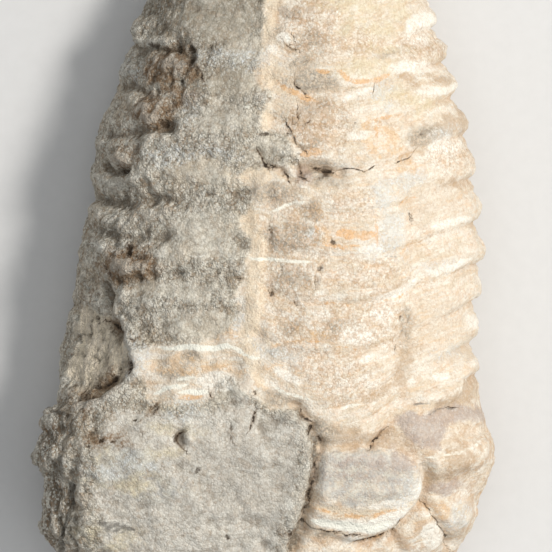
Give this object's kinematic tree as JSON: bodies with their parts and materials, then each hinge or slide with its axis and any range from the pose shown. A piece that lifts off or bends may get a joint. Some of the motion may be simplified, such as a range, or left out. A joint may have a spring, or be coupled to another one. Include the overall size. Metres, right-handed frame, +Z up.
{
  "type": "trilobite fossil",
  "caption": "Calymenid trilobite fossil lying back up on its flat underside, arched and ribbed, one flank and most of the head still under rock.",
  "frame": {"origin": "centre of the bounding box seen from above, on the flat underside", "axes": "+Y towards the tail, -Y towards the head, +X the bare flank, -X the flank under rock, +Z up out of the back"},
  "size_m": [0.0413, 0.0698, 0.0198],
  "materials": {
    "fossil_stone": "dry weathered limestone, cream on the bare flank, grey where rock is left"
  },
  "bodies": {
    "root": {"trilobite": "fossil_stone"}
  },
  "joints": []
}
